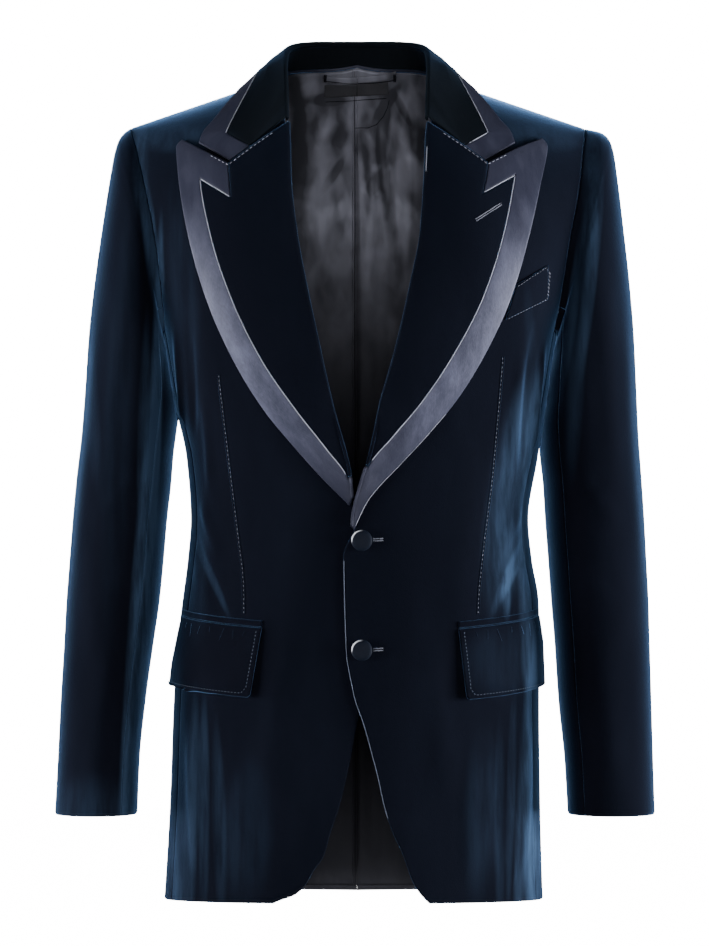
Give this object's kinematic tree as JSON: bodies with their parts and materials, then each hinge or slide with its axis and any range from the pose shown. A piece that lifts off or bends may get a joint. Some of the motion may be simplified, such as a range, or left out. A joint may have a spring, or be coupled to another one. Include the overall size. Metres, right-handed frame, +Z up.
{
  "type": "tuxedo",
  "caption": "Single-breasted velvet dinner jacket with satin-edged peak lapels, flap pockets and side vents, filled out as worn, open at neck, cuffs and hem.",
  "frame": {"origin": "middle of the neck opening at the height of the shoulder line, where the wearer's neck and shoulders hold the jacket", "axes": "+Z up, +X towards the wearer's left, -Y the front of the jacket"},
  "size_m": [0.5776, 0.2597, 0.8392],
  "materials": {
    "velvet": "dark navy cotton velvet, matt with a bright edge",
    "satin_trim": "fine twill satin, grey navy, soft sheen",
    "lining": "lining satin, grey, soft sheen",
    "button_covering": "satin drawn over a domed button",
    "label": "woven, bare"
  },
  "bodies": {
    "root": {"front_right": "velvet", "side_right": "velvet", "back_right": "velvet", "top_sleeve_right": "velvet", "under_sleeve_right": "velvet", "lapel_right": "velvet", "pocket_flap_right": "velvet", "pocket_jet_right": "velvet", "lapel_band_right": "satin_trim", "lining_back_right": "lining", "front_left": "velvet", "side_left": "velvet", "back_left": "velvet", "top_sleeve_left": "velvet", "under_sleeve_left": "velvet", "lapel_left": "velvet", "pocket_flap_left": "velvet", "pocket_jet_left": "velvet", "lapel_band_left": "satin_trim", "lining_back_left": "lining", "collar_leaf": "velvet", "collar_stand": "velvet", "breast_welt": "velvet", "collar_band": "satin_trim", "button_top": "button_covering", "button_bottom": "button_covering", "hanging_loop": "lining", "label_patch": "label"}
  },
  "joints": []
}
